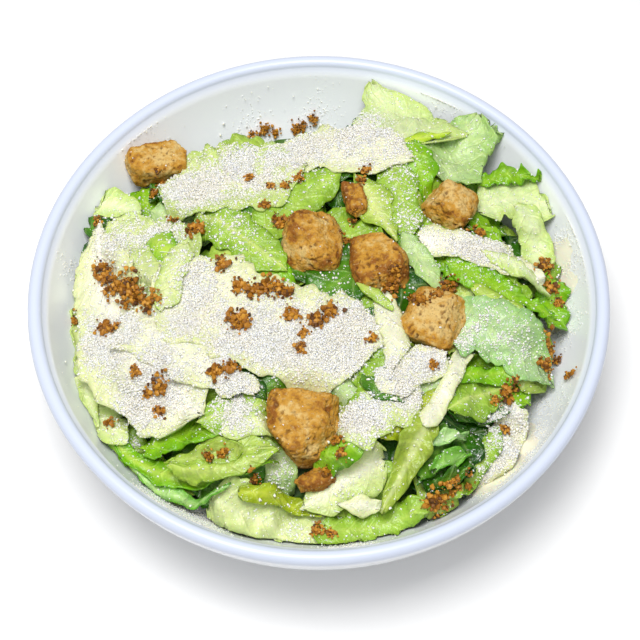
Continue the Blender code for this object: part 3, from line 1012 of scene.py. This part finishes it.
class SALAD_OT_core(bpy.types.Operator):
    """Makes the inside of the heap, painted dark green as shade, which fills the bowl below the leaves"""

    bl_idname = "salad.core"
    bl_label = "Heap core"

    def execute(self, context):
        deselect()
        bpy.ops.mesh.primitive_uv_sphere_add(segments=96, ring_count=64, radius=1)
        core = context.object
        unit = get_points(core)
        share = np.hypot(unit[:, 0], unit[:, 1])
        radius = share * (MOUND_RADIUS - CORE_MARGIN)
        spin = np.arctan2(unit[:, 1], unit[:, 0])
        points = np.column_stack([radius * np.cos(spin), radius * np.sin(spin), np.zeros(len(unit))])
        lumps = field(points, 9, 3)
        top = mound_height(radius) - CORE_DEPTH + CORE_LUMPS * lumps
        under = wall_height(radius + 1.0) + 1.0
        points[:, 2] = np.where(unit[:, 2] > 1e-4, np.maximum(top, under + 0.5), under)
        set_points(core, points * MM)
        core.name = core.data.name = "heap_core"
        shade(core, core_shade_material(context.scene.salad_leaf))
        return {"FINISHED"}


class SALAD_OT_leaves(bpy.types.Operator):
    """Lays the small leaves and then the large ones, each draped on those below it"""

    bl_idname = "salad.leaves"
    bl_label = "Leaves"

    def execute(self, context):
        settings = context.scene.salad_leaf
        step, thickness = settings.step / MM, settings.thickness
        pile = Pile()
        pile.add(get_points(bpy.data.objects["heap_core"]) / MM)
        small = [
            add_leaf(leaf, step * 1.25, thickness, seed, pile)
            for seed, leaf in enumerate(filler_leaves(settings.fillers, random.Random(11)))
        ]
        large = [add_leaf(leaf, step, thickness, 200 + i, pile) for i, leaf in enumerate(LEAVES.values())]
        material = leaf_material()
        middle = len(large) // 2
        groups = {"lower_leaves": small, "outer_leaves": large[:middle], "top_leaves": large[middle:]}
        for name, group in groups.items():
            shade(join(name, group), material)
        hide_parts("lettuce_heap")
        return {"FINISHED"}


# ---------------------------------------------------------------- bread

# The bread's mesh step, how square its blocks are and how many faces of each are torn.
CRUMB_VOXEL = 0.45
SQUARENESS = 4.2
TORN_FACES = 4

# How brown each piece of bread is, from 0 for pale crumb to 1 for crust.
BROWNING = {
    "crouton_back_left": 0.42,
    "crouton_centre_left": 0.56,
    "crouton_centre_right": 0.64,
    "crouton_right_back": 0.48,
    "crouton_right": 0.3,
    "crouton_front": 0.66,
    "crouton_heel": 1.0,
    "shard_back": 0.75,
    "shard_boat": 0.95,
}


def toast_material(settings):
    """Toasted white bread: dry porous crumb, so it is matt and warm, golden where the oven
    touched it and dark brown on its edges. Its pores are painted dark as shade, and its pale specks are
    partly painted highlights."""
    material, tree, shader = new_material(
        "toasted crumb", Roughness=0.75, IOR=1.4, Subsurface_Weight=0.08
    )
    shader.inputs["Subsurface Radius"].default_value = (1.0, 0.6, 0.3)
    shader.inputs["Subsurface Scale"].default_value = 0.001
    toasted = node(tree, "ShaderNodeAttribute", attribute_name="toasted").outputs["Fac"]
    pore = node(tree, "ShaderNodeAttribute", attribute_name="pore").outputs["Fac"]
    blotch = math_node(tree, "MULTIPLY_ADD", grit(tree, 2.2, 4.0), 2.0, -1.0)
    patch = add(tree, toasted, blotch)
    colour = blend(tree, ramp(tree, patch, 0.0, 0.55), rgba(settings.pale), rgba(settings.crust))
    colour = blend(tree, ramp(tree, patch, 0.5, 1.05), colour, rgba(settings.brown))
    fleck = ramp(tree, grit(tree, 0.9, 3.0), 0.52, 0.66)
    colour = blend(tree, times(tree, fleck, 0.4), colour, rgba(linear("6E400C")))
    # Pale specks: partly pale crumb, partly painted highlights on the bread's grains.
    light = ramp(tree, grit(tree, 1.1, 3.0), 0.55, 0.72)
    colour = blend(tree, times(tree, light, 0.45), colour, rgba(linear("D8BA7C")))
    # Painted shade: the pores are coloured dark for the shade inside them.
    colour = blend(tree, times(tree, pore, 0.7), colour, rgba(linear("56300A")))
    tree.links.new(colour, shader.inputs["Base Color"])
    bump(tree, shader, grit(tree, 0.7, 4.0), 0.4, 0.8)
    return material


class SALAD_OT_croutons(bpy.types.Operator):
    """Gives each crouton its pores, its ragged faces and its browned edges"""

    bl_idname = "salad.croutons"
    bl_label = "Croutons"

    def execute(self, context):
        material = toast_material(context.scene.salad_toast)
        for seed, name in enumerate(CROUTONS):
            deselect()
            crumb = bpy.data.objects.new(name + "_crumb", bpy.data.objects[name].data.copy())
            context.scene.collection.objects.link(crumb)
            pick(crumb)
            bpy.ops.object.mode_set(mode="EDIT")
            bpy.ops.mesh.select_all(action="SELECT")
            bpy.ops.mesh.remove_doubles(threshold=0.00002)
            bpy.ops.object.mode_set(mode="OBJECT")
            crumb.data.name = crumb.name
            apply_modifier(crumb, "REMESH", mode="VOXEL", voxel_size=CRUMB_VOXEL * MM)
            apply_modifier(crumb, "SMOOTH", factor=0.5, iterations=6)
            self.toast(crumb, BROWNING[name], seed)
            shade(crumb, material)
            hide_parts(name)
        return {"FINISHED"}

    def torn_block(self, points, seed):
        """Points of a block with round edges and a few faces torn flat, and how near each lies
        to an edge."""
        low, high = points.min(axis=0), points.max(axis=0)
        centre, rand = (low + high) / 2, random.Random(seed + 5)
        tilt = [rand.uniform(-0.3, 0.3), rand.uniform(-0.3, 0.3), rand.uniform(-0.6, 0.6)]
        turn = np.array(Euler(tilt).to_matrix())
        own = (points - centre) @ turn
        half = np.abs(own).max(axis=0)
        own /= half
        own /= (np.abs(own) ** SQUARENESS).sum(axis=1, keepdims=True) ** (1 / SQUARENESS)
        own *= half
        for _ in range(TORN_FACES):
            cut = np.array([rand.gauss(0, 1) for _ in range(3)])
            cut /= np.linalg.norm(cut)
            beyond = own @ cut - np.linalg.norm(half * cut) * rand.uniform(0.8, 0.95)
            own -= cut * np.where(beyond > 0, 0.85 * beyond, 0)[:, None]
        reach = np.sort(np.abs(own) / (half * 0.88), axis=1)
        points = own @ turn.T
        points = centre + points * (0.47 * (high - low) / np.abs(points).max(axis=0))
        return points, smooth((reach[:, 1] - 0.62) / 0.35)

    def toast(self, crumb, browning, seed):
        """Tears, dents and browns one piece of bread inside the box of its solid."""
        points = get_points(crumb) / MM
        low, high = points.min(axis=0), points.max(axis=0)
        points, edge = self.torn_block(points, seed)
        set_points(crumb, points * MM)
        normals = np.empty(len(points) * 3, np.float32)
        crumb.data.vertices.foreach_get("normal", normals)
        normals = normals.reshape(-1, 3).astype(float)
        lumps = field(points, 6, seed + 40)
        dents = field(points, 2.8, seed + 80)
        crumbs = field(points, 0.9, seed + 60)
        pores = smooth((field(points, 1.3, seed + 50) - 0.27) / 0.2)
        pores = pores * smooth(0.7 + 1.2 * field(points, 5, seed + 55))
        toasted = browning + 0.42 * edge + 0.55 * field(points, 7, seed + 70) - 0.15
        height = 0.9 * lumps + 0.45 * dents - 0.7 * pores + (0.15 + 0.3 * browning) * crumbs
        points = np.clip(points + normals * height[:, None], low, high)
        set_points(crumb, points * MM)
        set_values(crumb, "toasted", np.clip(toasted, 0, 1.3))
        # The pores' mask, which the material paints dark as shade.
        set_values(crumb, "pore", np.clip(pores, 0, 1))


# ---------------------------------------------------------------- cheese


# The grid of lines down which cheese falls, and how far it spills past its leaf, in cells.
RAIN_STEP = 0.6
RAIN_REACH = 93.0
SPILLS = 8

# Cheese that slid down the bowl's wall: x, y, spread and grains of each size.
WALL_SNOW = (
    (62, -54, 5, 1500), (68, -48, 4, 800), (56, -64, 4, 800), (76, -36, 5, 300), (86, 12, 4, 500),
    (84, -6, 4, 400), (86, 24, 3, 350), (-50, -73, 5, 700), (-38, -80, 5, 700), (-62, 64, 5, 150),
    (-24, 78, 4, 150), (0, 84, 4, 150), (46, 82, 4, 120), (-86, 14, 3, 120), (10, -90, 5, 300),
)

# Drifts of cheese on the wall: x, y, how far they spread and how thick they are.
DRIFTS = (
    (60, -52, 5, 0.8), (66, -50, 6, 1.0), (60, -60, 6, 1.0), (53, -67, 5, 0.7), (73, -43, 4, 0.5),
    (69, -52, 4, 0.8), (64, -59, 4, 0.8), (57, -66, 4, 0.7), (85, 21, 5, 1.2), (86, 9, 5, 1.1),
    (84, -3, 5, 0.8),
)


def scatter(name, places, ups, points, faces, sizes, rand, squash=0.8):
    """One piece that holds a copy of a small shape at each place, each turned its own way."""
    count = len(places)
    spin = rand.uniform(0, 2 * math.pi, count)
    tilt = ups + rand.normal(0, 0.35, (count, 3))
    tilt /= np.linalg.norm(tilt, axis=1, keepdims=True)
    first = np.cross(tilt, np.array([0.3, 0.9, 0.31]))
    first /= np.linalg.norm(first, axis=1, keepdims=True)
    second = np.cross(tilt, first)
    along = first * np.cos(spin)[:, None] + second * np.sin(spin)[:, None]
    aside = np.cross(tilt, along)
    jitter = 1 + rand.uniform(-0.3, 0.3, (count, len(points), 1))
    own = points[None] * jitter * sizes[:, None, None]
    spread = own[..., 0:1] * along[:, None] + own[..., 1:2] * aside[:, None]
    spread = spread + own[..., 2:3] * tilt[:, None] * squash
    spread += places[:, None]
    every = (faces[None] + (np.arange(count) * len(points))[:, None, None]).reshape(-1, 3)
    return mesh_piece(name, spread.reshape(-1, 3) * MM, every)


def what_shows():
    """The leaves, the bowl and the bread, which cheese and crumbs fall on."""
    names = ["lower_leaves", "outer_leaves", "top_leaves", "glazed_bowl"]
    names += [f"{name}_crumb" for name in CROUTONS]
    return [bpy.data.objects[name] for name in names]


def look_down(pieces, attribute, missing):
    """Points, normals and values of the attribute where lines straight down first meet these
    pieces, on a square grid. A piece without the attribute counts as missing."""
    values = []
    for piece in pieces:
        mesh = piece.data
        mesh.calc_loop_triangles()
        corners = np.empty(len(mesh.loop_triangles) * 3, np.int32)
        mesh.loop_triangles.foreach_get("vertices", corners)
        own = np.full(len(mesh.vertices), missing, np.float32)
        if attribute in mesh.attributes:
            mesh.attributes[attribute].data.foreach_get("value", own)
        values.append(own[corners[::3]])
    values = np.concatenate(values)
    ground = surface_of(pieces)
    steps = np.arange(-RAIN_REACH, RAIN_REACH, RAIN_STEP)
    table = np.zeros((len(steps), len(steps), 7))
    for i, x in enumerate(steps):
        for j, y in enumerate(steps):
            if x * x + y * y < RAIN_REACH**2:
                found, normal, index, _ = ground.ray_cast(Vector((x, y, 90)), Vector((0, 0, -1)))
                if found is not None:
                    table[i, j] = (*found, *normal, values[index])
    return table


def on_wall(spots):
    """Points and outward directions on the bowl's inner wall at these x and y."""
    radius = np.hypot(spots[:, 0], spots[:, 1])
    radius = np.clip(radius, FLOOR_RADIUS + 1, RIM_RADIUS - RIM_WIDTH - 1.5)
    angle = np.arctan2(spots[:, 1], spots[:, 0])
    slope = (wall_height(radius + 0.5) - wall_height(radius - 0.5))[:, None]
    around = np.column_stack([np.cos(angle), np.sin(angle), np.zeros(len(spots))])
    up = (np.array([0, 0, 1.0]) - around * slope) / np.sqrt(1 + slope**2)
    return around * radius[:, None] + np.array([0, 0, 1.0]) * wall_height(radius)[:, None], up


OCTAHEDRON = np.array([(1, 0, 0), (-0.9, 0.2, 0), (0, 0.8, 0), (0.1, -0.9, 0), (0, 0, 0.8), (0.1, 0, -0.7)])
OCTAHEDRON_FACES = np.array(
    [(0, 2, 4), (2, 1, 4), (1, 3, 4), (3, 0, 4), (2, 0, 5), (1, 2, 5), (3, 1, 5), (0, 3, 5)]
)
FLECK = np.array([(0.9, 0, -0.3), (-0.5, 0.8, -0.3), (-0.6, -0.7, -0.3), (0, 0, 0.7)])
FLECK_FACES = np.array([(0, 1, 3), (1, 2, 3), (2, 0, 3), (0, 2, 1)])
SHRED = np.array(
    [(-1, -0.12, 0), (-1, 0.12, 0), (-0.95, 0, 0.16), (0, -0.2, 0.16), (0, 0.16, 0.16), (0.02, 0, 0.36)]
    + [(1, -0.12, 0.02), (1, 0.12, 0.02), (0.95, 0, 0.16)]
)
SHRED_FACES = np.array(
    [(0, 2, 1), (6, 7, 8)]
    + [(0, 1, 4), (0, 4, 3), (1, 2, 5), (1, 5, 4), (2, 0, 3), (2, 3, 5)]
    + [(3, 4, 7), (3, 7, 6), (4, 5, 8), (4, 8, 7), (5, 3, 6), (5, 6, 8)]
)


def cheese_material(settings):
    """Dry grated hard cheese: waxy broken crumbs, matt and slightly translucent ivory."""
    material, tree, shader = new_material("grated cheese", Roughness=0.6, IOR=1.45, Subsurface_Weight=0.6)
    shader.inputs["Subsurface Radius"].default_value = (1.0, 0.9, 0.6)
    shader.inputs["Subsurface Scale"].default_value = 0.001
    tint = node(tree, "ShaderNodeAttribute", attribute_name="tint").outputs["Fac"]
    creamy = ramp(tree, grit(tree, 9.0), 0.35, 0.65)
    colour = blend(tree, creamy, rgba(settings.colour), rgba(linear("FFF9E6")))
    colour = blend(tree, ramp(tree, tint, 0.55, 1.0), colour, rgba(linear("FBFAF0")))
    tree.links.new(colour, shader.inputs["Base Color"])
    bump(tree, shader, grit(tree, 0.4), 0.1, 0.5)
    return material


class SALAD_OT_cheese(bpy.types.Operator):
    """Scatters grated cheese over the leaves, thickest in its drifts"""

    bl_idname = "salad.cheese"
    bl_label = "Grated cheese"

    def execute(self, context):
        settings = context.scene.salad_cheese
        table = look_down(what_shows(), "cheese", -0.1)
        cover = table[..., 6]
        spilt = cover
        for _ in range(SPILLS):
            spilt = blur(spilt)
        cover = np.clip(0.55 * cover + 0.45 * spilt, 0, 1).reshape(-1)
        table = table.reshape(-1, 7)
        middle, up = table[:, :3], table[:, 3:6]
        bare = np.where(table[:, 6] < 0, 0.002, 0.012) * (table[:, 2] > 0)
        weight = cover**1.4 + bare
        rand = np.random.default_rng(5)
        kinds = (
            ("cheese_powder", settings.powder, FLECK, FLECK_FACES, (0.18, 0.38)),
            ("cheese_fine_grains", settings.grains * 3 // 5, OCTAHEDRON, OCTAHEDRON_FACES, (0.2, 0.4)),
            ("cheese_grains", settings.grains, OCTAHEDRON, OCTAHEDRON_FACES, (0.3, 0.6)),
            ("cheese_coarse_grains", settings.grains // 2, OCTAHEDRON, OCTAHEDRON_FACES, (0.4, 0.85)),
            ("cheese_shreds", settings.shreds, SHRED, SHRED_FACES, (0.5, 1.1)),
        )
        material = cheese_material(settings)
        for name, count, points, faces, (low, high) in kinds:
            chosen = rand.choice(len(middle), count, p=weight / weight.sum())
            depth = 0.7 * cover[chosen] ** 2 * rand.random(count)
            spots = middle[chosen] + rand.uniform(-0.3, 0.3, (count, 3)) * (1, 1, 0.2)
            spots += up[chosen] * (low * 0.4 + depth)[:, None]
            keep_inside_bowl(spots, 1.0)
            ups = up[chosen]
            if name in ("cheese_powder", "cheese_fine_grains"):
                fallen = [rand.normal((x, y), spread, (number, 2)) for x, y, spread, number in WALL_SNOW]
                places, slopes = on_wall(np.vstack(fallen))
                spots = np.vstack([spots, places + slopes * rand.uniform(0, 0.5, (len(places), 1))])
                ups = np.vstack([ups, slopes])
            sizes = low + (high - low) * rand.random(len(spots)) ** 2
            grated = scatter(name, spots, ups, points, faces, sizes, rand)
            set_values(grated, "tint", np.repeat(rand.random(len(spots)), len(points)))
            shade(grated, material, "coarse" in name)
        self.drifts()
        return {"FINISHED"}

    def drifts(self):
        """A thin uneven layer of cheese on the wall, which sinks into it where none lies."""
        turns, steps = 700, 40
        angle, radius = np.meshgrid(
            np.linspace(0, 2 * math.pi, turns, endpoint=False), np.linspace(60, 92, steps), indexing="ij"
        )
        flat = np.stack([radius * np.cos(angle), radius * np.sin(angle)], axis=-1).reshape(-1, 2)
        places, slopes = on_wall(flat)
        layer = np.zeros(len(flat))
        for x, y, spread, amount in DRIFTS:
            layer = layer + amount * np.exp(-((flat - (x, y)) ** 2).sum(axis=1) / spread**2)
        layer = 1.8 * layer - 0.75 + 0.35 * field(places, 5, 31) + 0.22 * field(places, 1.8, 32)
        points = places + slopes * np.minimum(layer, 1.4)[:, None]
        here = np.arange(turns * steps).reshape(turns, steps)
        there = np.roll(here, -1, axis=0)
        faces = np.stack([here[:, :-1], here[:, 1:], there[:, 1:], there[:, :-1]], axis=-1).reshape(-1, 4)
        faces = faces[layer[faces].max(axis=1) > -0.15]
        used, faces = np.unique(faces, return_inverse=True)
        drift = mesh_piece("cheese_drifts", points[used] * MM, faces.reshape(-1, 4))
        wet, _, shader = new_material("cheese damp with dressing", Roughness=0.5, Subsurface_Weight=0.2)
        shader.inputs["Base Color"].default_value = rgba(linear("FAF5E0"))
        shader.inputs["Subsurface Scale"].default_value = 0.001
        shade(drift, wet)


# ---------------------------------------------------------------- crumbs

# Where toasted crumbs lie: x and y, and the size of the largest of them.
CRUMBS = (
    (-25, 79, 1), (-21, 81, 1), (-17, 81, 1), (-9, 82, 1), (-6, 83, 1), (-2, 85, 1), (-25, 46, 1),
    (-17, 39, 1), (-12, 39, 1), (-7, 42, 1), (-19, 30, 1), (-14, 24, 2), (-52, 30, 1), (-43, 22, 2),
    (-33, 6, 2), (-77, 13, 2), (-74, 8, 3), (-70, 2, 3), (-65, 2, 3), (-64, -3, 3), (-58, -7, 3),
    (24, -3, 3), (-86, -5, 1), (-73, -13, 2), (-69, -16, 1), (-53, -38, 2), (-57, -40, 1),
    (-61, -34, 1), (-34, -36, 2), (-29, -35, 2), (-28, -16, 3), (-25, -16, 2), (-27, -3, 2),
    (-22, -4, 2), (-17, -3, 3), (-11, -5, 2), (-9, -14, 2), (-1, -16, 2), (4, -13, 2), (-5, -21, 1),
    (-6, -27, 1), (18, -23, 1), (38, -32, 1), (56, 21, 1), (53, 23, 1), (80, 13, 2), (82, 6, 2),
    (84, 1, 1), (44, -1, 2), (79, -17, 2), (78, -24, 2), (84, -19, 1), (86, -29, 1), (66, -34, 1),
    (63, -38, 2), (59, -41, 1), (62, -50, 1), (37, -76, 2), (40, -74, 2), (43, -72, 1), (49, -68, 1),
    (45, -70, 1), (0, -83, 1), (4, -85, 1), (-1, -84, 1), (-70, -47, 1), (-53, -46, 1), (17, 46, 1),
    (15, 42, 1), (34, -8, 2), (-21, -70, 1), (-79, 32, 1), (-60, 46, 1), (-58, 51, 1), (40, -6, 1),
    (9, 18, 1), (12, 26, 1), (26, 1, 1), (6, -60, 1), (7, -64, 1), (2, -67, 1), (-36, -63, 1),
    (-31, -62, 1),
)


def crumb_material():
    """Fried breadcrumbs and herb dust: oily, so a little glossy, golden brown to umber."""
    material, tree, shader = new_material("fried breadcrumb", Roughness=0.5, IOR=1.45)
    hue = node(tree, "ShaderNodeAttribute", attribute_name="toasted").outputs["Fac"]
    colour = blend(tree, ramp(tree, hue, 0.0, 0.5), rgba(linear("CC9230")), rgba(linear("A0660E")))
    colour = blend(tree, ramp(tree, hue, 0.5, 1.0), colour, rgba(linear("522C04")))
    tree.links.new(colour, shader.inputs["Base Color"])
    bump(tree, shader, grit(tree, 0.5), 0.2, 0.8)
    return material


class SALAD_OT_crumbs(bpy.types.Operator):
    """Drops small clusters of toasted crumbs on what lies below them"""

    bl_idname = "salad.crumbs"
    bl_label = "Toasted crumbs"

    def execute(self, context):
        deselect()
        bpy.ops.mesh.primitive_ico_sphere_add(subdivisions=1, radius=1)
        ball = context.object
        points, faces = get_points(ball), np.array([tuple(face.vertices) for face in ball.data.polygons])
        bpy.data.objects.remove(ball)
        ground = surface_of(what_shows())
        snowed = Pile()
        for name in ("cheese_powder", "cheese_fine_grains", "cheese_grains"):
            snowed.add(get_points(bpy.data.objects[name]) / MM)
        rand = random.Random(23)
        spots, ups, sizes = [], [], []
        for x, y, size in CRUMBS:
            for _ in range(12 + 34 * size):
                spread = 0.35 + 0.52 * size
                place = Vector((x + rand.gauss(0, spread), y + rand.gauss(0, spread), 90))
                found, normal, _, _ = ground.ray_cast(place, Vector((0, 0, -1)))
                if found is None:
                    continue
                grow = rand.uniform(0.22, 0.45) + (rand.random() ** 3) * 0.4 * min(size, 2)
                found.z = max(found.z, min(float(snowed.top(np.array(found))), found.z + 1.6) - 0.5)
                spots.append(found + normal * (grow * 0.3 + rand.random() * 0.45 * size))
                ups.append(normal)
                sizes.append(grow)
        spots = np.array(spots)
        keep_inside_bowl(spots, 1.5)
        ups, sizes, turns = np.array(ups), np.array(sizes), np.random.default_rng(8)
        crumbs = scatter("toasted_crumbs", spots, ups, points, faces, sizes, turns, 0.9)
        set_values(crumbs, "toasted", np.repeat(np.random.default_rng(9).random(len(spots)), len(points)))
        shade(crumbs, crumb_material(), False)
        return {"FINISHED"}


# ---------------------------------------------------------------- stage


def add_light(name, size, power, place, aim=(0, 0, 30)):
    """A square area light in millimetres that aims at a point."""
    light = bpy.data.lights.new(name, "AREA")
    light.energy, light.size = power, size * MM
    lamp = bpy.data.objects.new(name, light)
    lamp.location = Vector(place) * MM
    lamp.rotation_euler = (Vector(aim) - Vector(place)).to_track_quat("-Z", "Y").to_euler()
    bpy.context.scene.collection.objects.link(lamp)
    return lamp


class SALAD_OT_stage(bpy.types.Operator):
    """Sets the floor, the soft light and the camera"""

    bl_idname = "salad.stage"
    bl_label = "Stage"

    def execute(self, context):
        scene, settings = context.scene, context.scene.salad_stage
        deselect()
        bpy.ops.mesh.primitive_plane_add(size=6, location=(0, 0, 0))
        floor = context.object
        floor.name = floor.data.name = "tabletop"
        material, _, shader = new_material("matt white card", Roughness=0.9)
        shader.inputs["Base Color"].default_value = rgba(settings.floor)
        floor.data.materials.append(material)

        scene.world = bpy.data.worlds.new("studio")
        scene.world.use_nodes = True
        sky = scene.world.node_tree.nodes["Background"]
        sky.inputs["Color"].default_value = (1, 1, 1, 1)
        sky.inputs["Strength"].default_value = 0.3
        add_light("key_light", 450, 8.8, (-90, -40, 1000))
        add_light("front_light", 700, 2.0, (-100, -480, 950))
        scene.view_settings.view_transform = "Standard"

        camera = bpy.data.objects.new("camera", bpy.data.cameras.new("camera"))
        camera.data.lens, camera.data.sensor_width = settings.lens, 36
        aim = Vector((0.4 * MM, settings.aim_forward, BOWL_HEIGHT * MM))
        back = Vector((0, -math.cos(settings.elevation), math.sin(settings.elevation)))
        camera.location = aim + back * settings.distance
        camera.rotation_euler = (-back).to_track_quat("-Z", "Y").to_euler()
        scene.collection.objects.link(camera)
        scene.camera = camera
        return {"FINISHED"}


# ---------------------------------------------------------------- add-on

OPERATORS = (
    SALAD_OT_bowl,
    SALAD_OT_core,
    SALAD_OT_leaves,
    SALAD_OT_croutons,
    SALAD_OT_cheese,
    SALAD_OT_crumbs,
    SALAD_OT_stage,
)


class SALAD_PT_panel(bpy.types.Panel):
    """Lists the pieces of the salad"""

    bl_idname = "SALAD_PT_panel"
    bl_label = "Caesar Salad"
    bl_space_type = "VIEW_3D"
    bl_region_type = "UI"
    bl_category = "Salad"

    def draw(self, context):
        for operator in OPERATORS:
            self.layout.operator(operator.bl_idname)


SETTINGS = {
    "salad_bowl": BowlSettings,
    "salad_leaf": LeafSettings,
    "salad_cheese": CheeseSettings,
    "salad_toast": ToastSettings,
    "salad_stage": StageSettings,
}


def register():
    """Registers the settings, the operators and the panel."""
    for kind in (*SETTINGS.values(), *OPERATORS, SALAD_PT_panel):
        bpy.utils.register_class(kind)
    for name, kind in SETTINGS.items():
        setattr(bpy.types.Scene, name, bpy.props.PointerProperty(type=kind))


def unregister():
    """Removes what register added."""
    for name in SETTINGS:
        delattr(bpy.types.Scene, name)
    for kind in reversed((*SETTINGS.values(), *OPERATORS, SALAD_PT_panel)):
        bpy.utils.unregister_class(kind)


def main():
    """Makes every piece in order."""
    register()
    bpy.ops.salad.bowl()
    bpy.ops.salad.core()
    bpy.ops.salad.leaves()
    bpy.ops.salad.croutons()
    bpy.ops.salad.cheese()
    bpy.ops.salad.crumbs()
    bpy.ops.salad.stage()


if __name__ == "__main__":
    main()
